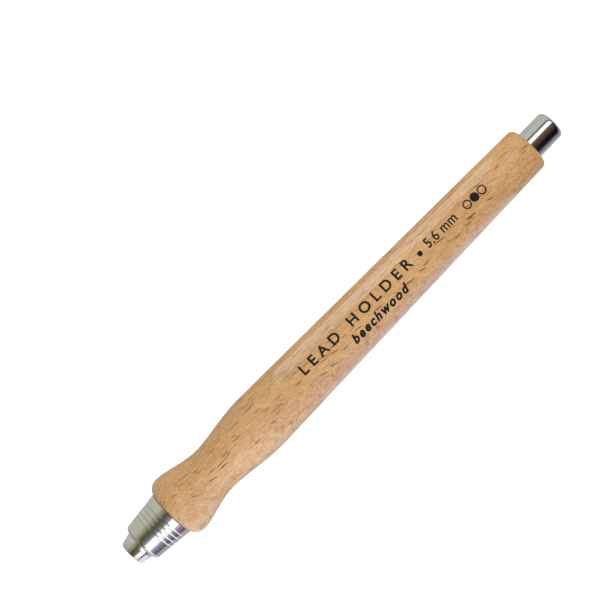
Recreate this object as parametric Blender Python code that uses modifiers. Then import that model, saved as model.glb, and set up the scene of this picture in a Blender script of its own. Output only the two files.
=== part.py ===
# Clutch lead holder for 5.6 mm leads, turned in beech, lying on its side.
#
# Metres, +Z up. The holder's axis runs along +X, from the jaws to the button, at the
# height of the bell, so that the bell touches z = 0. The origin is under the middle of
# the length. A station is a distance along the axis from the jaws' tips, and every
# radius is worked outwards from the lead: bore, jaws, tube, coupler, spring, barrel.

import math

import bpy
import bmesh
from mathutils import Matrix

# ---- what the holder is made for -----------------------------------------------------
LEAD_RADIUS = 0.0028
LEAD_LENGTH = 0.120
LEAD_RECESS = 0.0008  # the lead's front end behind the jaws' tips
PUSH_TRAVEL = 0.0045

# ---- lengths along the axis; these four add up to the overall length -----------------
JAW_OVERHANG = 0.00345  # jaws in front of the ferrule
FERRULE_LENGTH = 0.0109
BARREL_LENGTH = 0.1277
BUTTON_OVERHANG = 0.0083  # button behind the barrel

# ---- barrel outline ------------------------------------------------------------------
BELL_RADIUS = 0.00865
BELL_SETBACK = 0.0031  # from the barrel's front face
WAIST_RADIUS = 0.00652
WAIST_SETBACK = 0.0155
BELLY_RADIUS = 0.0080
BELLY_SETBACK = 0.0316
TAIL_RADIUS = 0.00614
TAIL_ROUND = 0.0016
SWELL_SKEW = 0.87  # under 1, each swell turns sooner at its front end
FACE_LAND = 0.0003  # flat ring of wood around the insert's flange
REAR_SHOULDER = 0.0036  # wood left behind the rear bush

# ---- ferrule -------------------------------------------------------------------------
FERRULE_REAR_RADIUS = 0.00655
FERRULE_LIP = 0.0011  # metal around the mouth
FERRULE_ROUND = 0.0013
MOUTH_CHAMFER = 0.00015
GROOVE_COUNT = 4
GROOVE_PITCH = 0.0013
GROOVE_WIDTH = 0.00085
GROOVE_DEPTH = 0.00013
GROOVE_SETBACK = 0.00475  # first groove's middle behind the ferrule's front
SPIGOT_WALL = 0.0005
SPIGOT_LENGTH = 0.0134  # behind the ferrule's rear face

# ---- collet --------------------------------------------------------------------------
JAW_COUNT = 3
JAW_SLOT = 0.0004
SLOT_ANGLE = math.radians(37)  # first slot, from straight up towards -Y
JAW_TIP_WALL = 0.00057
JAW_HEAD_WALL = 0.00132
JAW_HEAD_LAND = 0.0003  # full-width band of the head behind the ferrule's front
TIP_ROUND = 0.0002
GRIP_LENGTH = 0.0080
GRIP_CHAMFER = 0.00025
SEAT_ANGLE = math.radians(6)
SEAT_LENGTH = 0.0035
LEG_ROOT = 0.0224  # station where the legs flex
LEG_WALL = 0.00035
ROOT_GAP = 0.0003  # between the legs and the collet's base
BASE_SHOULDER = 0.0014
BASE_SHANK = 0.0028

# ---- tube, coupler, spring, button ---------------------------------------------------
TUBE_WALL = 0.0003
COUPLER_WALL = 0.0004
COUPLER_GRIP = 0.0063  # length of tube inside the coupler
WIRE_RADIUS = 0.0003
SPRING_LENGTH = 0.0235
SPRING_COILS = 11
WASHER_THICKNESS = 0.0006
COLLAR_LENGTH = 0.0025
INSERT_WALL = 0.0005
INSERT_LENGTH = 0.0115
FLANGE_WIDTH = 0.00055
FLANGE_THICKNESS = 0.0006
BUSH_LENGTH = 0.0173
BUSH_LIP_THICKNESS = 0.0012
BUTTON_WALL = 0.00054
BUTTON_END_WALL = 0.0014
BUTTON_ROUND = 0.00135

# ---- clearances ----------------------------------------------------------------------
GRIP_GAP = 0.00003  # lead in the closed jaws
LEG_GAP = 0.00015  # lead in the legs
TUBE_GAP = 0.0002  # lead in the tube
PRESS_GAP = 0.00005  # pieces pressed, screwed or running on each other
BUTTON_BORE_GAP = 0.00006  # button on the tube
SEAT_GAP = 0.00008  # jaws in the ferrule's cone
SPRING_GAP = 0.0002  # spring around the coupler
BORE_GAP = 0.00015  # spring in the barrel
RELIEF_GAP = 0.00025  # coupler in the ferrule
HOLE_GAP = 0.00015  # button in the barrel's rear hole
LIP_GAP = 0.00012  # tube in the bush's lip
BUTT_GAP = 0.0001  # between faces that meet
STOP_GAP = 0.00015  # left between button and bush when pushed home

# ---- how round things are made -------------------------------------------------------
FACETS = 36
FACET_ANGLE = 2 * math.pi / FACETS
MERGE_DISTANCE = 0.00001
SPRING_POINTS_PER_COIL = 14

# ---- stations ------------------------------------------------------------------------
OVERALL_LENGTH = JAW_OVERHANG + FERRULE_LENGTH + BARREL_LENGTH + BUTTON_OVERHANG
FERRULE_FRONT = JAW_OVERHANG
BARREL_FRONT = JAW_OVERHANG + FERRULE_LENGTH
BARREL_REAR = BARREL_FRONT + BARREL_LENGTH
SPIGOT_REAR = BARREL_FRONT + SPIGOT_LENGTH
SEAT_FRONT = JAW_OVERHANG + JAW_HEAD_LAND
SEAT_REAR = SEAT_FRONT + SEAT_LENGTH
BASE_FRONT = LEG_ROOT + ROOT_GAP
SHANK_FRONT = BASE_FRONT + BASE_SHOULDER
SHANK_REAR = SHANK_FRONT + BASE_SHANK
TUBE_FRONT = SHANK_REAR + BUTT_GAP
COUPLER_FRONT = SHANK_FRONT + BUTT_GAP
COUPLER_REAR = TUBE_FRONT + COUPLER_GRIP
WASHER_FRONT = SPIGOT_REAR + BUTT_GAP
WASHER_REAR = WASHER_FRONT + WASHER_THICKNESS
SPRING_FRONT = WASHER_REAR + BUTT_GAP
SPRING_REAR = SPRING_FRONT + SPRING_LENGTH
COLLAR_FRONT = SPRING_REAR + BUTT_GAP
SHOULDER_FRONT = BARREL_REAR - REAR_SHOULDER
BUSH_REAR = SHOULDER_FRONT - BUTT_GAP
BUSH_FRONT = BUSH_REAR - BUSH_LENGTH
BUSH_LIP_REAR = BUSH_FRONT + BUSH_LIP_THICKNESS
BUTTON_FRONT = BUSH_LIP_REAR + PUSH_TRAVEL + STOP_GAP
BUTTON_CAVITY_REAR = OVERALL_LENGTH - BUTTON_END_WALL
TUBE_REAR = BUTTON_CAVITY_REAR - BUTT_GAP

# ---- radii, outwards from the lead ---------------------------------------------------
JAW_BORE = LEAD_RADIUS + GRIP_GAP
JAW_TIP_RADIUS = JAW_BORE + JAW_TIP_WALL
JAW_HEAD_RADIUS = JAW_BORE + JAW_HEAD_WALL
SEAT_DROP = SEAT_LENGTH * math.tan(SEAT_ANGLE)
LEG_BORE = LEAD_RADIUS + LEG_GAP
LEG_RADIUS = LEG_BORE + LEG_WALL
TUBE_BORE = LEAD_RADIUS + TUBE_GAP
TUBE_RADIUS = TUBE_BORE + TUBE_WALL
COUPLER_BORE = TUBE_RADIUS + PRESS_GAP
COUPLER_RADIUS = COUPLER_BORE + COUPLER_WALL
SPRING_BORE = COUPLER_RADIUS + SPRING_GAP
COIL_RADIUS = SPRING_BORE + WIRE_RADIUS
SPRING_RADIUS = COIL_RADIUS + WIRE_RADIUS
RELIEF_RADIUS = COUPLER_RADIUS + RELIEF_GAP
SPIGOT_RADIUS = RELIEF_RADIUS + SPIGOT_WALL
BARREL_BORE = max(SPRING_RADIUS + BORE_GAP, SPIGOT_RADIUS + BUTT_GAP)
INSERT_BORE = SPIGOT_RADIUS + PRESS_GAP
INSERT_RADIUS = INSERT_BORE + INSERT_WALL
FLANGE_RADIUS = INSERT_RADIUS + FLANGE_WIDTH
BUTTON_BORE = TUBE_RADIUS + BUTTON_BORE_GAP
BUTTON_RADIUS = BUTTON_BORE + BUTTON_WALL
REAR_HOLE = BUTTON_RADIUS + HOLE_GAP
SEAT_MOUTH = JAW_HEAD_RADIUS + SEAT_GAP
FERRULE_FRONT_RADIUS = SEAT_MOUTH + MOUTH_CHAMFER + FERRULE_LIP
FACE_RADIUS = FLANGE_RADIUS + PRESS_GAP + FACE_LAND

# A facet lies underneath, so the flat of the bell rests on z = 0.
AXIS_HEIGHT = BELL_RADIUS * math.cos(FACET_ANGLE / 2)


def clear_scene():
    for obj in list(bpy.data.objects):
        bpy.data.objects.remove(obj, do_unlink=True)


def new_collection(name):
    collection = bpy.data.collections.new(name)
    bpy.context.scene.collection.children.link(collection)
    return collection


def new_material(name, color, roughness, metallic):
    material = bpy.data.materials.new(name)
    material.use_nodes = True
    shader = material.node_tree.nodes["Principled BSDF"]
    shader.inputs["Base Color"].default_value = (*color, 1)
    shader.inputs["Roughness"].default_value = roughness
    shader.inputs["Metallic"].default_value = metallic
    material.diffuse_color = (*color, 1)
    return material


def place(obj, material, collection, parent):
    obj.data.materials.append(material)
    collection.objects.link(obj)
    obj.parent = parent


def arc(middle_station, middle_radius, size, start, end, steps):
    """Points on a quarter round, from angle start to end, where 0 points rearwards."""
    length, height = size
    points = []
    for i in range(steps + 1):
        angle = start + (end - start) * i / steps
        station = middle_station + length * math.cos(angle)
        points.append((station, middle_radius + height * math.sin(angle)))
    return points


def eased(start, end, steps):
    """Points along a swell that leaves start and meets end level. The end itself is left out."""
    points = []
    for i in range(steps):
        share = (1 - math.cos(math.pi * (i / steps) ** SWELL_SKEW)) / 2
        station = start[0] + (end[0] - start[0]) * i / steps
        points.append((station, start[1] + (end[1] - start[1]) * share))
    return points


def outline_mesh(name, outside, inside):
    """The edge loop that a Screw turns: the outside and then the bore, each from front to rear."""
    points = outside[::-1] + inside
    mesh = bpy.data.meshes.new(name)
    shape = bmesh.new()
    half = OVERALL_LENGTH / 2
    corners = [shape.verts.new((radius, 0, station - half)) for station, radius in points]
    for first, second in zip(corners, corners[1:] + corners[:1]):
        if max(first.co.x, second.co.x) > MERGE_DISTANCE:  # an edge on the axis turns nothing
            shape.edges.new((first, second))
    shape.to_mesh(mesh)
    shape.free()
    return mesh


def turned(name, outside, inside):
    """A round piece on the holder's axis, with a facet underneath."""
    obj = bpy.data.objects.new(name, outline_mesh(name, outside, inside))
    obj.rotation_euler.z = FACET_ANGLE / 2
    screw = obj.modifiers.new("turned", "SCREW")
    screw.axis = "Z"
    screw.angle = 2 * math.pi
    screw.steps = screw.render_steps = FACETS
    screw.use_merge_vertices = True
    screw.merge_threshold = MERGE_DISTANCE
    screw.use_smooth_shade = True
    return obj


def ring(name, front, rear, bore, radius):
    return turned(name, [(front, radius), (rear, radius)], [(front, bore), (rear, bore)])


def barrel():
    bell = (BARREL_FRONT + BELL_SETBACK, BELL_RADIUS)
    waist = (BARREL_FRONT + WAIST_SETBACK, WAIST_RADIUS)
    belly = (BARREL_FRONT + BELLY_SETBACK, BELLY_RADIUS)
    tail_round = min(TAIL_ROUND, TAIL_RADIUS - REAR_HOLE - BUTT_GAP)
    tail = (BARREL_REAR - tail_round, TAIL_RADIUS)
    front_size = (BELL_SETBACK, BELL_RADIUS - FACE_RADIUS)
    outside = arc(bell[0], FACE_RADIUS, front_size, math.pi, math.pi / 2, 7)[:-1]
    outside += eased(bell, waist, 9) + eased(waist, belly, 10) + [belly]
    tail_size = (tail_round, tail_round)
    outside += arc(tail[0], TAIL_RADIUS - tail_round, tail_size, math.pi / 2, 0, 4)
    flange_seat = FLANGE_RADIUS + PRESS_GAP
    insert_seat = INSERT_RADIUS + PRESS_GAP
    flange_rear = BARREL_FRONT + FLANGE_THICKNESS + BUTT_GAP
    insert_rear = BARREL_FRONT + INSERT_LENGTH + BUTT_GAP
    inside = [
        (BARREL_FRONT, flange_seat),
        (flange_rear, flange_seat),
        (flange_rear, insert_seat),
        (insert_rear, insert_seat),
        (insert_rear, BARREL_BORE),
        (SHOULDER_FRONT, BARREL_BORE),
        (SHOULDER_FRONT, REAR_HOLE),
        (BARREL_REAR, REAR_HOLE),
    ]
    return turned("barrel", outside, inside)


def ferrule():
    round_size = min(FERRULE_ROUND, FERRULE_LIP)
    rear = BARREL_FRONT - BUTT_GAP
    shoulder = FERRULE_FRONT + round_size

    def cone(station):
        share = (station - shoulder) / (rear - shoulder)
        return FERRULE_FRONT_RADIUS + (FERRULE_REAR_RADIUS - FERRULE_FRONT_RADIUS) * share

    size = (round_size, round_size)
    low = FERRULE_FRONT_RADIUS - round_size
    outside = arc(shoulder, low, size, math.pi, math.pi / 2, 5)
    for i in range(GROOVE_COUNT):
        middle = FERRULE_FRONT + GROOVE_SETBACK + i * GROOVE_PITCH
        for step in (-1, -0.5, 0, 0.5, 1):
            station = middle + step * GROOVE_WIDTH / 2
            outside.append((station, cone(station) - GROOVE_DEPTH * (1 - step * step)))
    outside += [(rear, FERRULE_REAR_RADIUS), (rear, SPIGOT_RADIUS), (SPIGOT_REAR, SPIGOT_RADIUS)]
    seat_end = SEAT_MOUTH - SEAT_DROP
    inside = [
        (FERRULE_FRONT, SEAT_MOUTH + MOUTH_CHAMFER),
        (FERRULE_FRONT + MOUTH_CHAMFER, SEAT_MOUTH),
        (SEAT_FRONT, SEAT_MOUTH),
        (SEAT_REAR, seat_end),
        (SEAT_REAR + RELIEF_RADIUS - seat_end, RELIEF_RADIUS),
        (SPIGOT_REAR, RELIEF_RADIUS),
    ]
    return turned("nose_ferrule", outside, inside)


def ferrule_insert():
    front = BARREL_FRONT
    flange_rear = front + FLANGE_THICKNESS
    rear = front + INSERT_LENGTH
    outside = [
        (front, FLANGE_RADIUS),
        (flange_rear, FLANGE_RADIUS),
        (flange_rear, INSERT_RADIUS),
        (rear, INSERT_RADIUS),
    ]
    return turned("ferrule_insert", outside, [(front, INSERT_BORE), (rear, INSERT_BORE)])


def rear_guide_bush():
    outer = BARREL_BORE - PRESS_GAP
    lip_bore = TUBE_RADIUS + LIP_GAP
    running_bore = BUTTON_RADIUS + PRESS_GAP
    inside = [
        (BUSH_FRONT, lip_bore),
        (BUSH_LIP_REAR, lip_bore),
        (BUSH_LIP_REAR, running_bore),
        (BUSH_REAR, running_bore),
    ]
    return turned("rear_guide_bush", [(BUSH_FRONT, outer), (BUSH_REAR, outer)], inside)


def collet_base():
    outside = [
        (BASE_FRONT, COUPLER_RADIUS),
        (SHANK_FRONT, COUPLER_RADIUS),
        (SHANK_FRONT, TUBE_RADIUS),
        (SHANK_REAR, TUBE_RADIUS),
    ]
    return turned("collet_base", outside, [(BASE_FRONT, LEG_BORE), (SHANK_REAR, LEG_BORE)])


def push_button():
    """A cup over the tube's rear end, its own end closed."""
    shoulder = OVERALL_LENGTH - BUTTON_ROUND
    size = (BUTTON_ROUND, BUTTON_ROUND)
    low = BUTTON_RADIUS - BUTTON_ROUND
    outside = [(BUTTON_FRONT, BUTTON_RADIUS)]
    outside += arc(shoulder, low, size, math.pi / 2, 0, 6) + [(OVERALL_LENGTH, 0)]
    inside = [
        (BUTTON_FRONT, BUTTON_BORE),
        (BUTTON_CAVITY_REAR, BUTTON_BORE),
        (BUTTON_CAVITY_REAR, 0),
    ]
    return turned("push_button", outside, inside)


def return_spring(material, collection, parent):
    """One helix of wire whose end turns lie closed, made as a curve with a round bevel."""
    turns = SPRING_COILS
    count = turns * SPRING_POINTS_PER_COIL
    free = SPRING_LENGTH - 2 * WIRE_RADIUS
    closed_rise = 2 * WIRE_RADIUS + BUTT_GAP
    open_rise = (free - 2 * closed_rise) / (turns - 2)
    curve = bpy.data.curves.new("return_spring", "CURVE")
    curve.dimensions = "3D"
    curve.bevel_depth = WIRE_RADIUS
    curve.bevel_resolution = 2
    curve.use_fill_caps = True
    spline = curve.splines.new("POLY")
    spline.points.add(count)
    start = SPRING_FRONT + WIRE_RADIUS - OVERALL_LENGTH / 2
    for i in range(count + 1):
        turn = i / SPRING_POINTS_PER_COIL
        angle = 2 * math.pi * turn
        middle_turns = min(max(turn - 1, 0), turns - 2)
        rise = closed_rise * (turn - middle_turns) + open_rise * middle_turns
        at = (COIL_RADIUS * math.cos(angle), COIL_RADIUS * math.sin(angle), start + rise)
        spline.points[i].co = (*at, 1)
    obj = bpy.data.objects.new("return_spring", curve)
    place(obj, material, collection, parent)


def jaw_wedge(collection):
    """The cutter that leaves one jaw: a sector of a disc, half a slot inside each edge."""
    sector = 2 * math.pi / JAW_COUNT
    reach = 4 * JAW_HEAD_RADIUS
    apex = JAW_SLOT / 2 / math.sin(sector / 2)
    steps = 4
    curve = bpy.data.curves.new("jaw_wedge", "CURVE")
    curve.dimensions = "2D"
    curve.fill_mode = "BOTH"
    curve.extrude = LEG_ROOT
    spline = curve.splines.new("POLY")
    spline.use_cyclic_u = True
    spline.points.add(steps + 1)
    spline.points[0].co = (apex, 0, 0, 1)
    for i in range(steps + 1):
        angle = sector * (i / steps - 0.5)
        spline.points[i + 1].co = (apex + reach * math.cos(angle), reach * math.sin(angle), 0, 1)
    outline = bpy.data.objects.new("jaw_wedge_outline", curve)
    collection.objects.link(outline)
    graph = bpy.context.evaluated_depsgraph_get()
    mesh = bpy.data.meshes.new_from_object(outline.evaluated_get(graph))
    bpy.data.objects.remove(outline, do_unlink=True)
    shape = bmesh.new()
    shape.from_mesh(mesh)
    bmesh.ops.remove_doubles(shape, verts=shape.verts, dist=MERGE_DISTANCE)
    bmesh.ops.recalc_face_normals(shape, faces=shape.faces)
    shape.to_mesh(mesh)
    shape.free()
    wedge = bpy.data.objects.new("jaw_wedge", mesh)
    wedge.location.z = -OVERALL_LENGTH / 2
    wedge.hide_render = True
    wedge.display_type = "WIRE"
    collection.objects.link(wedge)
    return wedge


def jaw_mesh(first_angle, hinge_radius, collection):
    """One jaw as a mesh whose origin is its hinge, with the jaw's middle along +X."""
    chamfer = GRIP_CHAMFER
    outside = [
        (0, JAW_TIP_RADIUS - TIP_ROUND),
        (TIP_ROUND, JAW_TIP_RADIUS),
        (JAW_OVERHANG, JAW_HEAD_RADIUS),
        (SEAT_FRONT, JAW_HEAD_RADIUS),
        (SEAT_REAR, JAW_HEAD_RADIUS - SEAT_DROP),
        (SEAT_REAR + JAW_HEAD_RADIUS - SEAT_DROP - LEG_RADIUS, LEG_RADIUS),
        (LEG_ROOT, LEG_RADIUS),
    ]
    inside = [
        (0, JAW_BORE + chamfer),
        (chamfer, JAW_BORE),
        (GRIP_LENGTH, JAW_BORE),
        (GRIP_LENGTH + LEG_BORE - JAW_BORE, LEG_BORE),
        (LEG_ROOT, LEG_BORE),
    ]
    collet = turned("collet_blank", outside, inside)
    collet.rotation_euler.z -= first_angle
    collection.objects.link(collet)
    cut = collet.modifiers.new("one_jaw", "BOOLEAN")
    cut.operation = "INTERSECT"
    cut.object = jaw_wedge(collection)
    bpy.context.view_layer.update()
    graph = bpy.context.evaluated_depsgraph_get()
    mesh = bpy.data.meshes.new_from_object(collet.evaluated_get(graph))
    mesh.transform(collet.matrix_world)
    mesh.transform(Matrix.Translation((-hinge_radius, 0, OVERALL_LENGTH / 2 - LEG_ROOT)))
    bpy.data.objects.remove(collet, do_unlink=True)
    return mesh


def jaws(material, parts, cutters, parent):
    """The jaws, each under an empty on the line where its leg flexes."""
    sector = 2 * math.pi / JAW_COUNT
    first_angle = math.pi + SLOT_ANGLE + sector / 2
    hinge_radius = (LEG_BORE + LEG_RADIUS) / 2
    mesh = jaw_mesh(first_angle, hinge_radius, cutters)
    mesh.materials.append(material)
    for i in range(JAW_COUNT):
        angle = first_angle + i * sector
        hinge = bpy.data.objects.new(f"jaw_{i + 1}_hinge", None)
        hinge.empty_display_size = LEG_RADIUS
        hinge.location = (
            hinge_radius * math.cos(angle),
            hinge_radius * math.sin(angle),
            LEG_ROOT - OVERALL_LENGTH / 2,
        )
        hinge.rotation_euler.z = angle
        hinge.parent = parent
        parts.objects.link(hinge)
        jaw = bpy.data.objects.new(f"jaw_{i + 1}", mesh)
        jaw.parent = hinge
        parts.objects.link(jaw)


def build():
    clear_scene()
    parts = new_collection("lead_holder")
    cutters = new_collection("lead_holder_cutters")
    beech = new_material("lacquered_beech", (0.62, 0.35, 0.16), 0.35, 0)
    chrome = new_material("chrome_plate", (0.78, 0.78, 0.79), 0.08, 1)
    brass = new_material("brass", (0.75, 0.56, 0.24), 0.25, 1)
    steel = new_material("spring_steel", (0.45, 0.45, 0.46), 0.3, 1)
    graphite = new_material("graphite", (0.03, 0.03, 0.032), 0.45, 0)

    axis = bpy.data.objects.new("holder_axis", None)
    axis.empty_display_size = BELL_RADIUS
    axis.location.z = AXIS_HEIGHT
    axis.rotation_euler.y = math.pi / 2  # a piece's own +Z is the holder's +X
    parts.objects.link(axis)

    collar_rear = COLLAR_FRONT + COLLAR_LENGTH
    lead_rear = LEAD_RECESS + LEAD_LENGTH
    lead_outside = [(LEAD_RECESS, LEAD_RADIUS), (lead_rear, LEAD_RADIUS)]
    lead_middle = [(LEAD_RECESS, 0), (lead_rear, 0)]
    washer = ring("spring_washer", WASHER_FRONT, WASHER_REAR, SPRING_BORE, SPIGOT_RADIUS)
    collar = ring("spring_collar", COLLAR_FRONT, collar_rear, COUPLER_BORE, SPRING_RADIUS)
    coupler = ring("collet_coupler", COUPLER_FRONT, COUPLER_REAR, COUPLER_BORE, COUPLER_RADIUS)
    tube = ring("lead_tube", TUBE_FRONT, TUBE_REAR, TUBE_BORE, TUBE_RADIUS)
    for obj, material in (
        (barrel(), beech),
        (ferrule(), chrome),
        (ferrule_insert(), brass),
        (rear_guide_bush(), brass),
        (washer, steel),
        (collar, brass),
        (collet_base(), chrome),
        (coupler, brass),
        (tube, brass),
        (push_button(), chrome),
        (turned("graphite_lead", lead_outside, lead_middle), graphite),
    ):
        place(obj, material, parts, axis)
    return_spring(steel, parts, axis)
    jaws(chrome, parts, cutters, axis)
    bpy.context.view_layer.update()


build()
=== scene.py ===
# Beech lead holder for 5.6 mm leads: the looks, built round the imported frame.
# Metres. The holder lies along X, jaws at low X and button at high X, on a floor at z = 0.

import math

import bpy
from mathutils import Matrix, Vector


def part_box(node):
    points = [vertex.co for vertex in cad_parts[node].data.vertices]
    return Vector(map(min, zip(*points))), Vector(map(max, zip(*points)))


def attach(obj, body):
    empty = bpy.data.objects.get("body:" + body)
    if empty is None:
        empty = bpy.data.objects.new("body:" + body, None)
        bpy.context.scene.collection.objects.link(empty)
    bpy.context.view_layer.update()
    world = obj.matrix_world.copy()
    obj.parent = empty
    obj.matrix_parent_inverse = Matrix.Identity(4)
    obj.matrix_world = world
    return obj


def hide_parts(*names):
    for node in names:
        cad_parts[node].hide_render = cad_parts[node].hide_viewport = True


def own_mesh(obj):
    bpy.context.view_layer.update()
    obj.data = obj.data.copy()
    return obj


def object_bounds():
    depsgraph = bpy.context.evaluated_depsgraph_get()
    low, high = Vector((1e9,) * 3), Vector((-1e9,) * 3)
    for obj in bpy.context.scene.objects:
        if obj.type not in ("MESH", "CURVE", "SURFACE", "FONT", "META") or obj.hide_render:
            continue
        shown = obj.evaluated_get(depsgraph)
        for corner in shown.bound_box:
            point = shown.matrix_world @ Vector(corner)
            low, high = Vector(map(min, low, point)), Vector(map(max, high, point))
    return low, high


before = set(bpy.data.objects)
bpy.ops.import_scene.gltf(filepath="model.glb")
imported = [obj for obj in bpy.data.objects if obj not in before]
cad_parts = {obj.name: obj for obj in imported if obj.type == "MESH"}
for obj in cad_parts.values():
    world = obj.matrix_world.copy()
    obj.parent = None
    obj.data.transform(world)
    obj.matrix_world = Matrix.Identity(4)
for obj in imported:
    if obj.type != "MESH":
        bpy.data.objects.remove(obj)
cadLow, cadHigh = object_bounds()
print("frame loaded:", len(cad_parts), "nodes")

mm = 0.001
tubeLow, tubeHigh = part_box("lead_tube")
axisZ = (tubeLow.z + tubeHigh.z) / 2
midX = (cadLow.x + cadHigh.x) / 2
middle = Vector((midX, 0, axisZ))  # of the holder, on its axis
tipX = cadLow.x  # the jaws' tips, where stations are counted from
scene = bpy.context.scene


def stationX(station):
    return tipX + station * mm


# small tools

def deselectAll():
    if bpy.context.mode != "OBJECT":
        bpy.ops.object.mode_set(mode="OBJECT")
    bpy.ops.object.select_all(action="DESELECT")


def makeActive(obj):
    deselectAll()
    obj.select_set(True)
    bpy.context.view_layer.objects.active = obj


def applyModifiers(obj):
    makeActive(obj)
    for modifier in list(obj.modifiers):
        bpy.ops.object.modifier_apply(modifier=modifier.name)


def srgb(code):
    # "#D9B07C" to the linear colour that a socket takes
    parts = [int(code[i:i + 2], 16) / 255 for i in (1, 3, 5)]
    return tuple(p / 12.92 if p <= 0.04045 else ((p + 0.055) / 1.055) ** 2.4 for p in parts) + (1,)


def addNode(tree, kind, inputs=None, **settings):
    node = tree.nodes.new(kind)
    for key, value in settings.items():
        setattr(node, key, value)
    for key, value in (inputs or {}).items():
        if isinstance(value, bpy.types.NodeSocket):
            tree.links.new(value, node.inputs[key])
        else:
            node.inputs[key].default_value = value
    return node


def setStops(ramp, stops):
    # stops are (position, hex colour or plain grey); a new ramp starts with two
    elements = ramp.color_ramp.elements
    while len(elements) > 1:
        elements.remove(elements[-1])
    for i, (position, value) in enumerate(stops):
        colour = srgb(value) if isinstance(value, str) else (value, value, value, 1)
        if i == 0:
            elements[0].position = position
        else:
            elements.new(position)
        elements[i].color = colour


def newMaterial(name, values):
    # values go on the shader's own sockets
    material = bpy.data.materials.new(name)
    material.use_nodes = True
    tree = material.node_tree
    shader = tree.nodes["Principled BSDF"]
    for socket, value in values.items():
        shader.inputs[socket].default_value = value
    return material, tree, shader


def turn(name, rings, segments, closed=True):
    # A circle drawn out ring by ring along the axis, as (station, radius) in mm.
    # A closed one comes back through its bore and is bridged to where it began.
    deselectAll()
    station, radius = rings[0]
    bpy.ops.mesh.primitive_circle_add(
        vertices=segments, radius=radius * mm,
        location=(stationX(station), 0, axisZ), rotation=(0, math.pi / 2, 0),
    )
    obj = bpy.context.object
    obj.name = obj.data.name = name
    bpy.ops.object.transform_apply(location=True, rotation=True, scale=True)
    bpy.ops.object.mode_set(mode="EDIT")
    bpy.ops.mesh.select_mode(type="VERT")
    bpy.ops.mesh.select_all(action="SELECT")
    if not closed:
        bpy.ops.mesh.edge_face_add()
    for nextStation, nextRadius in rings[1:]:
        step = (nextStation - station) * mm
        bpy.ops.mesh.extrude_region_move(TRANSFORM_OT_translate={"value": (step, 0, 0)})
        share = nextRadius / radius
        ringMiddle = (stationX(nextStation), 0, axisZ)
        bpy.ops.transform.resize(value=(1, share, share), center_override=ringMiddle)
        station, radius = nextStation, nextRadius
    if closed:
        bpy.ops.mesh.select_all(action="DESELECT")
        bpy.ops.mesh.select_non_manifold()
        bpy.ops.mesh.bridge_edge_loops()
    bpy.ops.mesh.select_all(action="SELECT")
    bpy.ops.mesh.normals_make_consistent(inside=False)
    bpy.ops.object.mode_set(mode="OBJECT")
    return obj


def smooth(obj, degrees):
    makeActive(obj)
    bpy.ops.object.shade_smooth_by_angle(angle=math.radians(degrees))


def finishPiece(obj, material, body, node=None):
    obj.data.materials.clear()
    obj.data.materials.append(material)
    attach(obj, body)
    if node:
        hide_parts(node)


def quarter(station, radius, along, across, start, end, steps):
    # rings on a quarter round about (station, radius); 0 degrees points to the button
    rings = []
    for i in range(steps + 1):
        angle = math.radians(start + (end - start) * i / steps)
        rings.append((station + along * math.cos(angle), radius + across * math.sin(angle)))
    return rings


def swell(start, end, skew, steps):
    # rings along a swell that leaves its start and meets its end level; the end is left out
    rings = []
    for i in range(steps):
        station = start[0] + (end[0] - start[0]) * i / steps
        share = (1 - math.cos(math.pi * (i / steps) ** skew)) / 2
        rings.append((station, start[1] + (end[1] - start[1]) * share))
    return rings


# camera, straight above, set before anything is made

camera = dict(
    height=490,  # mm above the holder's axis
    frameWidth=149.7,  # mm of the axis's plane that the frame takes in
    sensor=36,  # mm wide
    turn=-45.72,  # degrees, so that the holder runs from lower left to upper right
    besideMiddle=(-0.5, 14.15),  # mm along and across, from the middle of the holder
)


def makeCamera():
    data = bpy.data.cameras.new("viewAbove")
    data.sensor_width = camera["sensor"]
    data.lens = camera["sensor"] * camera["height"] / camera["frameWidth"]
    data.clip_start, data.clip_end = 0.01, 10
    obj = bpy.data.objects.new("viewAbove", data)
    along, across = camera["besideMiddle"]
    obj.location = middle + Vector((along, across, camera["height"])) * mm
    obj.rotation_euler.z = math.radians(camera["turn"])
    scene.collection.objects.link(obj)
    scene.camera = obj


makeCamera()
scene.view_settings.view_transform = "Standard"
print("camera set")


# materials

def perCell(sides):
    # the Mapping scale that makes one cell of a pattern this many mm along X, Y and Z
    return [1 / (side * mm) for side in sides]


wood = dict(
    grainSlant=-6.5,  # degrees between the grain and the holder's axis
    raySide=-47,  # degrees from upright to the side the rays run out of
    toneStops=(0.39, 0.5, 0.6),  # tone at which each of three colours is reached
    colours=("#A4794A", "#B78F61", "#C8A274"),
    # painted light: the same three colours made paler and pinker, for the side painted as lit
    litSideColours=("#B18C6A", "#C6A787", "#D6BB9E"),
    litSideWay=(-0.06, -1, 0),  # painted light: the way towards which the wood is painted paler and pinker, as if lit from that side
    litSideFrom=1.0, litSideTo=10.5,  # mm that way
    waver=0.5, waverEvery=6,  # mm that the grain wanders from side to side, and how often
    # slow drift, streaks and fine fibre: a cell is in mm along the grain, across it and
    # along the rays
    tones=[
        dict(cell=(30, 5, 7), detail=1, rough=0.5, share=0.2),
        dict(cell=(3.4, 0.27, 0.8), detail=2, rough=0.6, share=0.32),
        dict(cell=(0.9, 0.15, 0.25), detail=2, rough=0.7, share=0.48),
    ],
    # ray marks: a cell as above, and how far from its middle the mark is full and gone
    marks=dict(
        longRays=dict(cell=(10, 0.56, 4), shift=(0, 0, 0), full=0.12, gone=0.21),
        shortRays=dict(cell=(6.5, 0.44, 3), shift=(3.7, 1.3, 8.1), full=0.12, gone=0.21),
        flakes=dict(cell=(2.7, 5, 4.2), shift=(1.9, 5.3, 2.7), full=0.06, gone=0.31),
    ),
    lyingUpTo=0.18, acrossFrom=0.42,  # how far the surface faces along the rays, 0 to 1
    dash="#6E3B1C", dashStrength=0.95,
    flake="#A9652F", flakeStrength=0.6,
    dashDepth=0.6,  # how deep a dash is beside the fibre
    bump=(0.3, 0.04),  # strength, and mm
)


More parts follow.
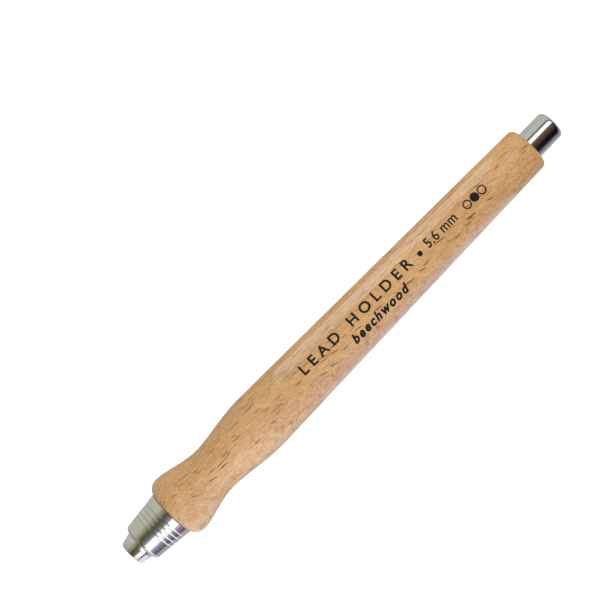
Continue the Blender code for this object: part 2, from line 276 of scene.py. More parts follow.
def beechWood():
    # European beech, turned and clear lacquered: pinkish sand colour, short dark ray
    # dashes along the grain, orange flakes where the rays lie in the surface, and a clear
    # coat with a soft gloss
    material, tree, shader = newMaterial("beech_clear_lacquer", {
        "Roughness": 0.5, "IOR": 1.5, "Specular IOR Level": 0.1,
        "Coat Weight": 0.7, "Coat Roughness": 0.06, "Coat IOR": 1.5,
    })
    raySide = math.radians(wood["raySide"])
    grainSlant = math.radians(wood["grainSlant"])
    place = addNode(tree, "ShaderNodeTexCoord").outputs["Object"]
    onAxis = addNode(tree, "ShaderNodeMapping", {
        "Vector": place, "Location": (0, 0, -axisZ),
    }).outputs["Vector"]
    grain = addNode(tree, "ShaderNodeMapping", {
        "Vector": onAxis, "Rotation": (raySide, 0, grainSlant),
    }, vector_type="TEXTURE").outputs["Vector"]

    # the grain wanders a little
    waver = addNode(tree, "ShaderNodeTexNoise", {
        "Vector": grain, "Scale": 1 / (wood["waverEvery"] * mm), "Detail": 1,
    })
    waver = addNode(tree, "ShaderNodeVectorMath", {
        0: waver.outputs["Color"], 1: (0.5, 0.5, 0.5),
    }, operation="SUBTRACT")
    wavy = addNode(tree, "ShaderNodeVectorMath", {
        0: waver.outputs[0], 1: (0, wood["waver"] * mm, wood["waver"] * mm), 2: grain,
    }, operation="MULTIPLY_ADD").outputs[0]

    # the tones are added up by their shares
    tone = 0
    for pattern in wood["tones"]:
        cells = addNode(tree, "ShaderNodeMapping", {"Vector": wavy, "Scale": perCell(pattern["cell"])})
        noise = addNode(tree, "ShaderNodeTexNoise", {
            "Vector": cells.outputs["Vector"], "Scale": 1,
            "Detail": pattern["detail"], "Roughness": pattern["rough"],
        }).outputs["Fac"]
        tone = addNode(tree, "ShaderNodeMath", {
            0: noise, 1: pattern["share"], 2: tone,
        }, operation="MULTIPLY_ADD").outputs[0]
    fibre = noise  # the last and finest of them, which also makes the relief

    ramps = []
    for colours in (wood["colours"], wood["litSideColours"]):
        ramp = addNode(tree, "ShaderNodeValToRGB", {"Fac": tone})
        setStops(ramp, list(zip(wood["toneStops"], colours)))
        ramps.append(ramp.outputs["Color"])
    # painted light: the side towards -Y is blended to the paler, pinker colours
    pale = addNode(tree, "ShaderNodeVectorMath", {0: place, 1: wood["litSideWay"]}, operation="DOT_PRODUCT")
    pale = addNode(tree, "ShaderNodeMapRange", {
        "Value": pale.outputs["Value"],
        "From Min": wood["litSideFrom"] * mm, "From Max": wood["litSideTo"] * mm,
    })
    base = addNode(tree, "ShaderNodeMix", {
        "Factor": pale.outputs["Result"], "A": ramps[0], "B": ramps[1],
    }, data_type="RGBA")

    # rays: sheets 2 to 4 mm along the grain and 0.2 mm across
    masks = {}
    for name, mark in wood["marks"].items():
        cells = addNode(tree, "ShaderNodeMapping", {
            "Vector": wavy, "Scale": perCell(mark["cell"]), "Location": mark["shift"],
        })
        spots = addNode(tree, "ShaderNodeTexVoronoi", {
            "Vector": cells.outputs["Vector"], "Scale": 1, "Randomness": 1,
        })
        masks[name] = addNode(tree, "ShaderNodeMapRange", {
            "Value": spots.outputs["Distance"], "From Min": mark["full"], "From Max": mark["gone"],
            "To Min": 1, "To Max": 0,
        }, interpolation_type="SMOOTHSTEP").outputs["Result"]
    dashes = addNode(tree, "ShaderNodeMath", {
        0: masks["longRays"], 1: masks["shortRays"],
    }, operation="MAXIMUM")

    # dark dashes where they are cut across, orange flakes where they lie in the surface
    rayWay = (0, -math.sin(raySide), math.cos(raySide))
    around = addNode(tree, "ShaderNodeVectorMath", {0: onAxis, 1: (0, 1, 1)}, operation="MULTIPLY")
    around = addNode(tree, "ShaderNodeVectorMath", {0: around.outputs[0]}, operation="NORMALIZE")
    facing = addNode(tree, "ShaderNodeVectorMath", {
        0: around.outputs[0], 1: rayWay,
    }, operation="DOT_PRODUCT")
    facing = addNode(tree, "ShaderNodeMath", {0: facing.outputs["Value"]}, operation="ABSOLUTE")
    across = addNode(tree, "ShaderNodeMapRange", {
        "Value": facing.outputs[0], "From Min": wood["lyingUpTo"], "From Max": wood["acrossFrom"],
    }, interpolation_type="SMOOTHSTEP").outputs["Result"]
    lying = addNode(tree, "ShaderNodeMath", {0: 1, 1: across}, operation="SUBTRACT").outputs[0]
    shares = []
    for mask, where, strength in (
        (dashes.outputs[0], across, wood["dashStrength"]),
        (masks["flakes"], lying, wood["flakeStrength"]),
    ):
        share = addNode(tree, "ShaderNodeMath", {0: mask, 1: where}, operation="MULTIPLY")
        share = addNode(tree, "ShaderNodeMath", {0: share.outputs[0], 1: strength}, operation="MULTIPLY")
        shares.append(share.outputs[0])
    dashShare, flakeShare = shares
    flaked = addNode(tree, "ShaderNodeMix", {
        "Factor": flakeShare, "A": base.outputs["Result"], "B": srgb(wood["flake"]),
    }, data_type="RGBA")
    colour = addNode(tree, "ShaderNodeMix", {
        "Factor": dashShare, "A": flaked.outputs["Result"], "B": srgb(wood["dash"]),
    }, data_type="RGBA")
    tree.links.new(colour.outputs["Result"], shader.inputs["Base Color"])

    height = addNode(tree, "ShaderNodeMath", {
        0: dashShare, 1: -wood["dashDepth"], 2: fibre,
    }, operation="MULTIPLY_ADD")
    strength, depth = wood["bump"]
    bump = addNode(tree, "ShaderNodeBump", {
        "Height": height.outputs[0], "Strength": strength, "Distance": depth * mm,
    })
    tree.links.new(bump.outputs["Normal"], shader.inputs["Normal"])
    return material


# marks: one cell of the pattern in mm along the holder and round it; bump: strength and mm
metals = dict(
    # bright chromium plate on turned brass, polished by hand: a neutral mirror, so
    # smooth that what it reflects only wavers a little
    chrome=dict(
        name="chrome_plate_on_turned_brass", colour="#E5E5E4", marks=(0.4, 1.6, 1.6), detail=2,
        rough=(0.03, 0.08), bump=(1, 0.012),
    ),
    # nickel plate straight from the lathe: a slightly warm mirror with fine rings round it
    nickel=dict(
        name="nickel_plate_on_brass", colour="#E3E2DE", marks=(0.06, 25, 25), detail=3,
        rough=(0.04, 0.1), bump=(0.2, 0.01),
    ),
    # bare brass off the lathe: yellow and satin, ringed by the tool
    brass=dict(
        name="turned_brass", colour="#D0AC62", marks=(0.08, 25, 25), detail=3,
        rough=(0.18, 0.34), bump=(0.2, 0.01),
    ),
    # spring wire drawn through a die: dull grey
    steel=dict(
        name="drawn_spring_steel", colour="#A3A4A6", marks=(0.15, 25, 25), detail=3,
        rough=(0.2, 0.35), bump=(0.2, 0.01),
    ),
)


def workedMetal(metal):
    material, tree, shader = newMaterial(metal["name"], {
        "Base Color": srgb(metal["colour"]), "Metallic": 1,
    })
    place = addNode(tree, "ShaderNodeTexCoord").outputs["Object"]
    cells = addNode(tree, "ShaderNodeMapping", {"Vector": place, "Scale": perCell(metal["marks"])})
    marks = addNode(tree, "ShaderNodeTexNoise", {
        "Vector": cells.outputs["Vector"], "Scale": 1, "Detail": metal["detail"],
    }).outputs["Fac"]
    rough = addNode(tree, "ShaderNodeMapRange", {
        "Value": marks, "To Min": metal["rough"][0], "To Max": metal["rough"][1],
    })
    tree.links.new(rough.outputs["Result"], shader.inputs["Roughness"])
    strength, depth = metal["bump"]
    bump = addNode(tree, "ShaderNodeBump", {
        "Height": marks, "Strength": strength, "Distance": depth * mm,
    })
    tree.links.new(bump.outputs["Normal"], shader.inputs["Normal"])
    return material


def graphiteStick():
    # extruded graphite: near black with a soft metallic sheen, and drag marks 2.5 mm
    # long and 0.12 mm apart
    material, tree, shader = newMaterial("graphite_extruded", {"Metallic": 0.6})
    place = addNode(tree, "ShaderNodeTexCoord").outputs["Object"]
    drawn = addNode(tree, "ShaderNodeMapping", {"Vector": place, "Scale": perCell((2.5, 0.12, 0.12))})
    marks = addNode(tree, "ShaderNodeTexNoise", {
        "Vector": drawn.outputs["Vector"], "Scale": 1, "Detail": 3,
    }).outputs["Fac"]
    ramp = addNode(tree, "ShaderNodeValToRGB", {"Fac": marks})
    setStops(ramp, [(0.3, "#2B2B2E"), (0.7, "#45454A")])
    tree.links.new(ramp.outputs["Color"], shader.inputs["Base Color"])
    rough = addNode(tree, "ShaderNodeMapRange", {"Value": marks, "To Min": 0.3, "To Max": 0.5})
    tree.links.new(rough.outputs["Result"], shader.inputs["Roughness"])
    return material


def printInk():
    # matt black printing ink, thin enough that the wood's pores, 0.25 mm across, mottle it
    material, tree, shader = newMaterial("black_printing_ink", {
        "Roughness": 0.55, "Specular IOR Level": 0.25,
    })
    place = addNode(tree, "ShaderNodeTexCoord").outputs["Object"]
    pores = addNode(tree, "ShaderNodeTexNoise", {
        "Vector": place, "Scale": 1 / (0.25 * mm), "Detail": 2,
    })
    ramp = addNode(tree, "ShaderNodeValToRGB", {"Fac": pores.outputs["Fac"]})
    setStops(ramp, [(0.35, "#08090C"), (0.8, "#1E1B19")])
    tree.links.new(ramp.outputs["Color"], shader.inputs["Base Color"])
    return material


beech = beechWood()
chrome = workedMetal(metals["chrome"])
nickel = workedMetal(metals["nickel"])
brass = workedMetal(metals["brass"])
steel = workedMetal(metals["steel"])
graphite = graphiteStick()
ink = printInk()
print("materials made")


# barrel: beech, bell at the nose, waist, belly, long taper; stations and radii in mm

barrel = dict(
    front=14.35, rear=142.05,
    bell=(17.45, 8.65), waist=(29.85, 6.52), belly=(45.95, 8.0), tailRadius=6.14,
    skew=0.87,  # under 1, each swell turns sooner at its front end
    tailRound=1.6,
    faceRadius=5.95, flangeBore=5.7, flangeDepth=0.7, insertBore=5.15, insertEnd=25.95,
    bore=4.7, shoulder=138.45, hole=4.05, holeEdge=0.12,
    faceSteps=14, bellSteps=26, bellySteps=30, taperSteps=16, tailSteps=10,
    segments=144,
)


def barrelOutside():
    bellAt, bellRadius = barrel["bell"]
    faceRadius = barrel["faceRadius"]
    rings = quarter(
        bellAt, faceRadius, bellAt - barrel["front"], bellRadius - faceRadius,
        180, 90, barrel["faceSteps"],
    )[:-1]
    rings += swell(barrel["bell"], barrel["waist"], barrel["skew"], barrel["bellSteps"])
    rings += swell(barrel["waist"], barrel["belly"], barrel["skew"], barrel["bellySteps"])
    bellyAt, bellyRadius = barrel["belly"]
    tailRound, tailRadius = barrel["tailRound"], barrel["tailRadius"]
    tailAt = barrel["rear"] - tailRound
    for i in range(barrel["taperSteps"]):
        share = i / barrel["taperSteps"]
        rings.append((
            bellyAt + (tailAt - bellyAt) * share,
            bellyRadius + (tailRadius - bellyRadius) * share,
        ))
    rings += quarter(tailAt, tailRadius - tailRound, tailRound, tailRound, 90, 0, barrel["tailSteps"])
    return rings


def barrelInside():
    rear, hole, edge = barrel["rear"], barrel["hole"], barrel["holeEdge"]
    flangeEnd = barrel["front"] + barrel["flangeDepth"]
    return [
        (rear, hole + edge), (rear - edge, hole), (barrel["shoulder"], hole),
        (barrel["shoulder"], barrel["bore"]), (barrel["insertEnd"], barrel["bore"]),
        (barrel["insertEnd"], barrel["insertBore"]), (flangeEnd, barrel["insertBore"]),
        (flangeEnd, barrel["flangeBore"]), (barrel["front"], barrel["flangeBore"]),
    ]


woodBarrel = turn("beech_barrel", barrelOutside() + barrelInside(), barrel["segments"])
smooth(woodBarrel, 35)
finishPiece(woodBarrel, beech, "holder", "barrel")
print("barrel turned")


# ferrule: chromed cone with four grooves, seat for the jaws inside

ferrule = dict(
    front=3.45, rear=14.32, frontRadius=5.48, rearRadius=6.55, round=1.1, rearEdge=0.05,
    grooves=4, firstGroove=8.2, groovePitch=1.3, grooveWidth=0.85, grooveDepth=0.045,
    seatFront=3.75, seat=4.23, seatEnd=(7.25, 3.862), relief=4.0,
    mouthEdge=[(0.15, 0), (0.05, 0.04), (0, 0.13)],  # mm behind the front, and out from the seat
    spigot=4.5, spigotRear=27.75,
    roundSteps=10, grooveSteps=12, segments=144,
)


def ferruleOutside():
    front, rear, lip = ferrule["front"], ferrule["rear"], ferrule["round"]
    frontRadius, rearRadius, edge = ferrule["frontRadius"], ferrule["rearRadius"], ferrule["rearEdge"]
    shoulder = front + lip
    grow = (rearRadius - frontRadius) / (rear - shoulder)
    rings = quarter(shoulder, frontRadius - lip, lip, lip, 180, 90, ferrule["roundSteps"])
    for groove in range(ferrule["grooves"]):
        grooveAt = ferrule["firstGroove"] + groove * ferrule["groovePitch"]
        for i in range(ferrule["grooveSteps"] + 1):
            aside = 2 * i / ferrule["grooveSteps"] - 1  # -1 to 1 across the groove
            station = grooveAt + aside * ferrule["grooveWidth"] / 2
            depth = ferrule["grooveDepth"] * (1 + math.cos(math.pi * aside)) / 2
            rings.append((station, frontRadius + grow * (station - shoulder) - depth))
    return rings + [(rear - edge, rearRadius), (rear, rearRadius - edge)]


def ferruleInside():
    rear, spigot, spigotRear = ferrule["rear"], ferrule["spigot"], ferrule["spigotRear"]
    relief, seat, seatEnd = ferrule["relief"], ferrule["seat"], ferrule["seatEnd"]
    rings = [(rear, spigot), (spigotRear, spigot), (spigotRear, relief)]
    rings += [(seatEnd[0] + relief - seatEnd[1], relief), seatEnd, (ferrule["seatFront"], seat)]
    rings += [(ferrule["front"] + back, seat + out) for back, out in ferrule["mouthEdge"]]
    return rings


noseFerrule = turn("chromed_ferrule", ferruleOutside() + ferruleInside(), ferrule["segments"])
smooth(noseFerrule, 40)
finishPiece(noseFerrule, chrome, "holder", "nose_ferrule")
print("ferrule turned")


# jaws: one collet turned whole, sawn into three by two cuts for each jaw

jaws = dict(
    count=3, slot=0.4, firstSlot=37,  # mm, and degrees from upright towards -Y
    cutTolerance=0.0001,  # mm
    outside=[
        (0.0, 3.18), (0.05, 3.3), (0.14, 3.38), (0.28, 3.44), (3.45, 4.14), (3.75, 4.15),
        (7.25, 3.782), (7.73, 3.3), (22.4, 3.3),
    ],
    inside=[(22.4, 2.95), (8.12, 2.95), (8.0, 2.83), (0.22, 2.83), (0.08, 2.9), (0.0, 3.02)],
    segments=144,
)


def sawCut(normal, offset):
    # cuts on a plane beside the axis and drops what lies past it
    bpy.ops.mesh.select_all(action="SELECT")
    bpy.ops.mesh.bisect(
        plane_co=Vector((0, 0, axisZ)) + normal * offset, plane_no=normal,
        use_fill=True, clear_outer=True, threshold=jaws["cutTolerance"] * mm,
    )


def makeJaw(number):
    obj = turn("collet_jaw_%d" % number, jaws["outside"] + jaws["inside"], jaws["segments"])
    makeActive(obj)
    bpy.ops.object.mode_set(mode="EDIT")
    sector = 2 * math.pi / jaws["count"]
    start = math.radians(jaws["firstSlot"]) + (number - 1) * sector
    for edge, side in ((start, 1), (start + sector, -1)):
        # the slot's own direction from the axis, and the way that leads out of the jaw
        out = Vector((0, -math.sin(edge), math.cos(edge)))
        away = Vector((1, 0, 0)).cross(out) * -side
        sawCut(away, -jaws["slot"] * mm / 2)
    bpy.ops.mesh.select_all(action="SELECT")
    bpy.ops.mesh.normals_make_consistent(inside=False)
    bpy.ops.object.mode_set(mode="OBJECT")
    smooth(obj, 30)
    finishPiece(obj, nickel, "jaw_%d" % number, "jaw_%d" % number)


for number in range(1, jaws["count"] + 1):
    makeJaw(number)
print("jaws sawn")


# push button: chromed cup with a rounded end

button = dict(
    front=126.9, end=150.35, radius=3.9, round=1.35, bore=3.36, cavityEnd=148.95,
    mouthEdge=0.1, endRing=1.2, disc=0.4,  # disc: radius of the faces that close both ends
    roundSteps=14, segments=128,
)


def buttonRings():
    front, end, edge = button["front"], button["end"], button["mouthEdge"]
    radius, bore, roundBy = button["radius"], button["bore"], button["round"]
    rings = [(button["cavityEnd"], button["disc"]), (button["cavityEnd"], bore), (front + edge, bore)]
    rings += [(front, bore + edge), (front, radius - edge), (front + edge, radius)]
    rings += quarter(end - roundBy, radius - roundBy, roundBy, roundBy, 90, 0, button["roundSteps"])
    rings += [(end, button["endRing"]), (end, button["disc"])]
    return rings


pushButton = turn("chromed_push_button", buttonRings(), button["segments"], closed=False)
smooth(pushButton, 40)
finishPiece(pushButton, chrome, "pusher", "push_button")
print("push button turned")


# lead: plain extruded stick with its edges worn round

lead = dict(front=0.8, rear=120.8, radius=2.8, round=0.35, disc=0.5, roundSteps=6, segments=96)


def leadRings():
    front, rear, roundBy, steps = lead["front"], lead["rear"], lead["round"], lead["roundSteps"]
    inner = lead["radius"] - roundBy
    rings = [(front, lead["disc"])]
    rings += quarter(front + roundBy, inner, roundBy, roundBy, 180, 90, steps)
    rings += quarter(rear - roundBy, inner, roundBy, roundBy, 90, 0, steps)
    rings.append((rear, lead["disc"]))
    return rings


leadStick = turn("graphite_stick", leadRings(), lead["segments"], closed=False)
smooth(leadStick, 40)
finishPiece(leadStick, graphite, "lead", "graphite_lead")
print("lead made")


# return spring: drawn wire, closed end turns

spring = dict(
    wireRadius=0.3, turns=11,  # mm; the first and last of the turns are closed ones
    closedRise=0.7,  # mm that a closed turn rises, so it lies almost on its neighbour
    travel=4.5,  # mm that the button takes it in by
    wireSides=12, steps=28,
)


def makeTurns(front, radius, count, rise):
    # a ring of wire carried round the axis by a Screw, count times, from front on
    deselectAll()
    bpy.ops.mesh.primitive_circle_add(
        vertices=spring["wireSides"], radius=spring["wireRadius"] * mm, location=(0, 0, 0),
    )
    obj = bpy.context.object
    bpy.ops.object.mode_set(mode="EDIT")
    bpy.ops.mesh.select_all(action="SELECT")
    bpy.ops.transform.translate(value=(front, radius, 0))
    bpy.ops.object.mode_set(mode="OBJECT")
    obj.location.z = axisZ
    screw = obj.modifiers.new("wind", "SCREW")
    screw.axis = "X"
    screw.screw_offset = rise * mm
    screw.iterations = count
    screw.steps = screw.render_steps = spring["steps"]
    applyModifiers(obj)
    bpy.ops.object.transform_apply(location=True, rotation=True, scale=True)
    return obj


def makeSpring():
    low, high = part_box("return_spring")
    wire = spring["wireRadius"] * mm
    radius = (high.z - low.z) / 2 - wire
    front, rear = low.x + wire, high.x - wire
    closed = spring["closedRise"] * mm
    openTurns = spring["turns"] - 2
    openRise = (rear - front - 2 * closed) / openTurns / mm
    sections = [
        makeTurns(front, radius, 1, spring["closedRise"]),
        makeTurns(front + closed, radius, openTurns, openRise),
        makeTurns(rear - closed, radius, 1, spring["closedRise"]),
    ]
    makeActive(sections[0])
    for section in sections:
        section.select_set(True)
    bpy.ops.object.join()
    obj = bpy.context.object
    obj.name = obj.data.name = "spring_wire"
    bpy.ops.object.mode_set(mode="EDIT")
    bpy.ops.mesh.select_all(action="SELECT")
    bpy.ops.mesh.remove_doubles(threshold=0.01 * mm)
    bpy.ops.mesh.fill_holes(sides=0)
    bpy.ops.mesh.select_all(action="SELECT")
    bpy.ops.mesh.normals_make_consistent(inside=False)
    bpy.ops.object.mode_set(mode="OBJECT")
    smooth(obj, 50)
    finishPiece(obj, steel, "holder", "return_spring")
    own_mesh(obj)


makeSpring()
print("spring wound")


# what stays inside: CAD nodes with their real metals

insideMetals = dict(
    ferrule_insert=brass, rear_guide_bush=brass, spring_washer=steel,
    spring_collar=brass, collet_base=nickel, collet_coupler=brass, lead_tube=brass,
)

for nodeName, metal in insideMetals.items():
    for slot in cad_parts[nodeName].material_slots:
        slot.material = metal
print("inner parts given their metals")


# printing: plain words and marks, pressed on to the wood; places and sizes in mm, counted
# along from the middle of the holder and across from its axis

printing = dict(
    thickness=0.012, lift=0.006,
    slices=(1.4, 0.35),  # between the cuts along and across, which let a letter bend
    dropFrom=10,  # above the holder
    capShare=0.73,  # height of a capital in a font of size 1
    words=[
        dict(
            name="print_name", text="LEAD HOLDER", start=-12.9, foot=0.3, cap=2.75,
            length=38.2, slant=0, bold=0.085, spacing=1.6,
        ),
        dict(
            name="print_size", text="5.6 mm", start=30.8, foot=0.25, cap=2.65,
            length=10.2, slant=0, bold=0.06, spacing=1.05,
        ),
        dict(
            name="print_wood", text="beechwood", start=1.4, foot=-3.4, cap=2.4,
            length=19.2, slant=0.3, bold=0.14, spacing=1.3,
        ),
    ],
    dot=dict(name="print_dot", along=28.3, across=1.0, radius=0.67, corners=48),
    mark=dict(
        name="print_mark", along=45.1, across=1.1, apart=2.55, radius=1.2, line=0.35, corners=64,
    ),
)


def printPlace(along, across):
    return (midX + along * mm, across * mm, cadHigh.z + printing["dropFrom"] * mm)


def pressOn(obj):
    # slices the flat shape finely, drops it on to the barrel and gives it an ink's thickness
    makeActive(obj)
    bpy.ops.object.transform_apply(location=True, rotation=True, scale=True)
    bpy.ops.object.mode_set(mode="EDIT")
    corners = [v.co for v in obj.data.vertices]
    for axis in (1, 0):
        step = printing["slices"][axis] * mm
        low, high = min(c[axis] for c in corners), max(c[axis] for c in corners)
        normal = [0, 0, 0]
        normal[axis] = 1
        for i in range(1, int((high - low) / step) + 1):
            point = [0, 0, 0]
            point[axis] = low + i * step
            bpy.ops.mesh.select_all(action="SELECT")
            bpy.ops.mesh.bisect(plane_co=point, plane_no=normal)
    bpy.ops.object.mode_set(mode="OBJECT")
    wrap = obj.modifiers.new("dropOn", "SHRINKWRAP")
    wrap.target = woodBarrel
    wrap.wrap_method = "PROJECT"
    wrap.use_project_z = True
    wrap.use_negative_direction = True
    wrap.use_positive_direction = False
    wrap.offset = printing["lift"] * mm
    thick = obj.modifiers.new("inkThickness", "SOLIDIFY")
    thick.thickness = printing["thickness"] * mm
    thick.offset = 1
    applyModifiers(obj)
    finishPiece(obj, ink, "holder")


def makeWord(word):
    deselectAll()
    bpy.ops.object.text_add(location=(0, 0, 0))
    obj = bpy.context.object
    obj.name = word["name"]
    obj.data.body = word["text"]
    obj.data.size = word["cap"] * mm / printing["capShare"]
    obj.data.shear = word["slant"]
    obj.data.offset = word["bold"] * mm
    obj.data.space_character = word["spacing"]
    obj.data.resolution_u = 6
    bpy.ops.object.convert(target="MESH")
    obj = bpy.context.object
    obj.data.name = word["name"]
    corners = [v.co.x for v in obj.data.vertices]
    stretch = word["length"] * mm / (max(corners) - min(corners))
    obj.scale.x = stretch
    obj.location = printPlace(word["start"], word["foot"])
    obj.location.x -= min(corners) * stretch
    pressOn(obj)


def makeDisc(name, along, across, radius, corners):
    deselectAll()
    bpy.ops.mesh.primitive_circle_add(
        vertices=corners, radius=radius * mm, fill_type="NGON", location=printPlace(along, across),
    )
    obj = bpy.context.object
    obj.name = obj.data.name = name
    bpy.ops.object.transform_apply(location=True, rotation=True, scale=True)
    return obj


def makeMark(mark):
    # a plain ornament: a disc between two rings
    for i in range(3):
        obj = makeDisc(
            "%s_%d" % (mark["name"], i + 1), mark["along"] + i * mark["apart"], mark["across"],
            mark["radius"], mark["corners"],
        )
        if i != 1:
            bpy.ops.object.mode_set(mode="EDIT")
            bpy.ops.mesh.select_all(action="SELECT")
            bpy.ops.mesh.inset(thickness=mark["line"] * mm)
            bpy.ops.mesh.delete(type="FACE")
            bpy.ops.object.mode_set(mode="OBJECT")
        pressOn(obj)


for word in printing["words"]:
    makeWord(word)
pressOn(makeDisc(**printing["dot"]))
makeMark(printing["mark"])
print("printing pressed on")


# floor, studio and light

floor = dict(
    size=6.0,  # metres
    paint=0.8,  # share of the light that it gives back
    glow=0.3, seenGlow=0.55,  # on the holder, and to the camera
)


def makeFloor():
    # pale floor that glows a little, so that the shadow under the holder stays faint;
    # it lets mirror rays through to the studio's bands
    deselectAll()
    bpy.ops.mesh.primitive_plane_add(size=floor["size"], location=(0, 0, cadLow.z))
    obj = bpy.context.object
    obj.name = "pale_floor"
    material, tree, shader = newMaterial("pale_floor", {
        "Base Color": (floor["paint"],) * 3 + (1,), "Roughness": 0.9, "Specular IOR Level": 0,
        "Emission Color": (1, 1, 1, 1),
    })
    rays = addNode(tree, "ShaderNodeLightPath")
    glow = addNode(tree, "ShaderNodeMapRange", {
        "Value": rays.outputs["Is Camera Ray"], "To Min": floor["glow"], "To Max": floor["seenGlow"],
    })
    tree.links.new(glow.outputs["Result"], shader.inputs["Emission Strength"])
    clear = addNode(tree, "ShaderNodeBsdfTransparent")
    mix = addNode(tree, "ShaderNodeMixShader", {
        "Fac": rays.outputs["Is Glossy Ray"], 1: shader.outputs["BSDF"], 2: clear.outputs["BSDF"],
    })
    tree.links.new(mix.outputs["Shader"], tree.nodes["Material Output"].inputs["Surface"])
    obj.data.materials.append(material)


studio = dict(
    strength=1.35,
    plain=0.36,  # what matt surfaces get from all round, before the strength
    seen=0.8,  # the same for the camera
    # what mirror surfaces see round the holder: (degrees from upright towards -Y, colour),
    # one set for the rays that run off towards each end and one between them
    buttonBands=[
        (-180, "#959DA0"), (-110, "#A0A8AA"), (-75, "#AEB0AD"), (-50, "#B0ACA0"), (-45, "#6A665E"),
        (-34, "#706C64"), (-30, "#FFFFFF"), (-8, "#FFFFFF"), (-1, "#665344"), (30, "#44362D"),
        (42, "#33291F"), (47, "#120E11"), (84, "#120E11"), (96, "#6F7679"), (123, "#868C8F"),
        (141, "#A3A9AA"), (180, "#959DA0"),
    ],
    ferruleBands=[
        (-180, "#A5A397"), (-120, "#AAA89B"), (-54, "#ADAB99"), (-43, "#94927F"), (-32, "#807D6C"),
        (-21, "#5D5643"), (-10, "#544E42"), (0, "#636361"), (10, "#747B83"), (18, "#A3A3A6"),
        (22, "#FFFFFF"), (57, "#FFFFFF"), (64, "#A8AABD"), (76, "#877E98"), (90, "#74677F"),
        (104, "#4E4658"), (114, "#999AA0"), (180, "#A5A397"),
    ],
    jawBands=[
        (-180, "#A4A5A8"), (-66, "#ABABAC"), (-52, "#A09D84"), (-24, "#868262"), (-12, "#564C34"),
        (10, "#5A5644"), (32, "#787670"), (40, "#FFFFFF"), (80, "#FFFFFF"), (86, "#DEDCE8"),
        (125, "#DAD8E2"), (155, "#C6C6CA"), (180, "#A4A5A8"),
    ],
    # where one set gives way to the next, by how far a ray leans along the holder: -1 runs
    # off the way the jaws point, 1 the way the button does
    jawsToFerrule=(-0.385, -0.325),
    ferruleToButton=(0.08, 0.2),
    upShare=0.11,  # how much a ray's way up counts towards that lean
    # how bright the bands are at each lean, 1 as they stand
    alongShade=[
        (-1, 0.6), (-0.72, 0.7), (-0.56, 0.75), (-0.48, 1), (-0.42, 1), (-0.35, 1.15),
        (-0.28, 1), (-0.22, 0.95), (-0.1, 0.75), (0, 0.7), (0.04, 1), (0.8, 1), (0.95, 0.6),
        (1, 0.5),
    ],
    shadeTop=1.2,  # a ramp ends at 1, so the shades are kept as shares of this
)


def bandsRound(tree, parts, alongWay):
    # the bands by the angle round the holder, each set in its own stretch along it
    flipped = addNode(tree, "ShaderNodeMath", {0: parts.outputs["Y"], 1: -1}, operation="MULTIPLY")
    angle = addNode(tree, "ShaderNodeMath", {
        0: flipped.outputs[0], 1: parts.outputs["Z"],
    }, operation="ARCTAN2")
    share = addNode(tree, "ShaderNodeMath", {
        0: angle.outputs[0], 1: 1 / (2 * math.pi), 2: 0.5,
    }, operation="MULTIPLY_ADD")
    mirror = None
    for name, change in (
        ("jawBands", None), ("ferruleBands", "jawsToFerrule"), ("buttonBands", "ferruleToButton"),
    ):
        ramp = addNode(tree, "ShaderNodeValToRGB", {"Fac": share.outputs[0]})
        setStops(ramp, [(0.5 + degrees / 360, code) for degrees, code in studio[name]])
        if not mirror:
            mirror = ramp.outputs["Color"]
            continue
        low, high = studio[change]
        along = addNode(tree, "ShaderNodeMapRange", {
            "Value": alongWay, "From Min": low, "From Max": high,
        })
        mirror = addNode(tree, "ShaderNodeMix", {
            "Factor": along.outputs["Result"], "A": mirror, "B": ramp.outputs["Color"],
        }, data_type="RGBA").outputs["Result"]
    return mirror


def makeWorld():
    # the room: even light for matt surfaces, bands for mirror ones
    world = bpy.data.worlds.new("studio")
    scene.world = world
    world.use_nodes = True
    tree = world.node_tree
    background = tree.nodes["Background"]
    way = addNode(tree, "ShaderNodeTexCoord").outputs["Generated"]
    parts = addNode(tree, "ShaderNodeSeparateXYZ", {"Vector": way})
    alongWay = addNode(tree, "ShaderNodeMath", {
        0: parts.outputs["Z"], 1: studio["upShare"], 2: parts.outputs["X"],
    }, operation="MULTIPLY_ADD").outputs[0]
    mirror = bandsRound(tree, parts, alongWay)
    alongShare = addNode(tree, "ShaderNodeMath", {0: alongWay, 1: 0.5, 2: 0.5}, operation="MULTIPLY_ADD")
    shade = addNode(tree, "ShaderNodeValToRGB", {"Fac": alongShare.outputs[0]})
    top = studio["shadeTop"]
    setStops(shade, [(0.5 + along / 2, bright / top) for along, bright in studio["alongShade"]])
    shade = addNode(tree, "ShaderNodeVectorMath", {
        0: shade.outputs["Color"], 1: (top, top, top),
    }, operation="MULTIPLY")
    mirror = addNode(tree, "ShaderNodeVectorMath", {0: mirror, 1: shade.outputs[0]}, operation="MULTIPLY")
    rays = addNode(tree, "ShaderNodeLightPath")
    plain = addNode(tree, "ShaderNodeMix", {
        "Factor": rays.outputs["Is Glossy Ray"],
        "A": (studio["plain"],) * 3 + (1,), "B": mirror.outputs[0],
    }, data_type="RGBA")
    both = addNode(tree, "ShaderNodeMix", {
        "Factor": rays.outputs["Is Camera Ray"],
        "A": plain.outputs["Result"], "B": (studio["seen"],) * 3 + (1,),
    }, data_type="RGBA")
    tree.links.new(both.outputs["Result"], background.inputs["Color"])
    background.inputs["Strength"].default_value = studio["strength"]


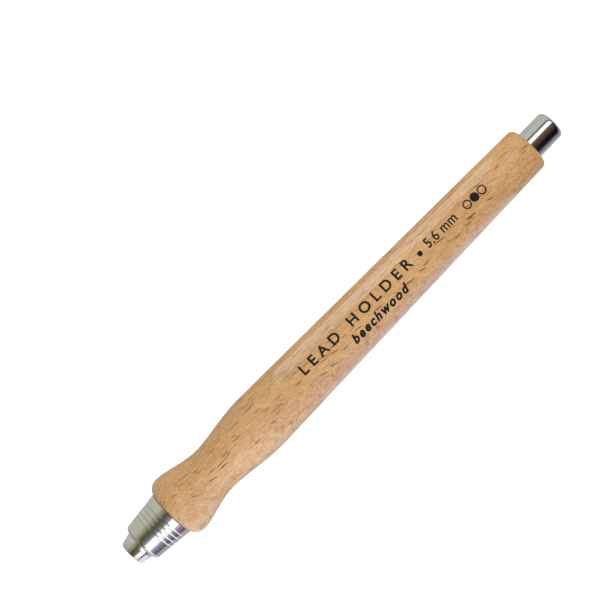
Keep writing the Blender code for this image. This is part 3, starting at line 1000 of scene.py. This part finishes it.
# place, aim and size in mm, from the middle of the holder's axis; a gloss card shows
# only in the lacquer and the plate, a soft box only lights
cards = [
    dict(
        name="soft_box_overhead", place=(0, 60, 900), aim=(0, 0, 0), size=(700, 700),
        power=3.1, gloss=False, colour="#FFFFFF",
    ),
    dict(
        name="soft_box_nose_side", place=(-200, -165, 160), aim=(-50, 0, 0), size=(160, 160),
        power=0.42, gloss=False, colour="#FFF8F4",
    ),
    dict(
        name="soft_box_tail_side", place=(205, 190, 230), aim=(75, 0, 0), size=(180, 180),
        power=0.62, gloss=False, colour="#FFFCF2",
    ),
    dict(
        name="gloss_window_left", place=(33.4, 197, 35), aim=(33.4, 0, 0), size=(107, 200),
        power=0.21, gloss=True, colour="#D8ECFF",
    ),
    dict(
        name="gloss_window_right", place=(32, -167.7, -109), aim=(32, 0, 0), size=(101, 270),
        power=0.12, gloss=True, colour="#B4C0FF",
    ),
]


def makeCard(card):
    data = bpy.data.lights.new(card["name"], "AREA")
    data.shape = "RECTANGLE"
    data.size, data.size_y = card["size"][0] * mm, card["size"][1] * mm
    data.energy = card["power"]
    data.color = srgb(card["colour"])[:3]
    obj = bpy.data.objects.new(card["name"], data)
    obj.location = middle + Vector(card["place"]) * mm
    inward = (middle + Vector(card["aim"]) * mm - obj.location).normalized()
    side = (Vector((1, 0, 0)) - inward * inward.x).normalized()  # the card's X, along the holder
    up = (-inward).cross(side)
    obj.rotation_euler = Matrix((side, up, -inward)).transposed().to_euler()
    obj.visible_camera = False
    obj.visible_glossy = card["gloss"]
    obj.visible_diffuse = not card["gloss"]
    scene.collection.objects.link(obj)


flag = dict(place=(-28, 110, 25), height=170, width=180, grey=0.42)  # mm, and its glow


def makeFlag():
    # a grey card between the left window and the nose, which keeps the window's
    # reflection off the bell; only mirror rays meet it
    deselectAll()
    bpy.ops.mesh.primitive_plane_add(size=1, location=(0, 0, 0), rotation=(0, math.pi / 2, 0))
    obj = bpy.context.object
    obj.name = obj.data.name = "grey_flag"
    obj.scale = (flag["height"] * mm, flag["width"] * mm, 1)
    obj.location = middle + Vector(flag["place"]) * mm
    bpy.ops.object.transform_apply(location=True, rotation=True, scale=True)
    material = newMaterial("grey_card", {
        "Base Color": (0, 0, 0, 1), "Specular IOR Level": 0,
        "Emission Color": (1, 1, 1, 1), "Emission Strength": flag["grey"],
    })[0]
    obj.data.materials.append(material)
    obj.visible_camera = False
    obj.visible_diffuse = False
    obj.visible_shadow = False
    obj.visible_transmission = False


makeFloor()
makeFlag()
makeWorld()
for card in cards:
    makeCard(card)
print("studio set")
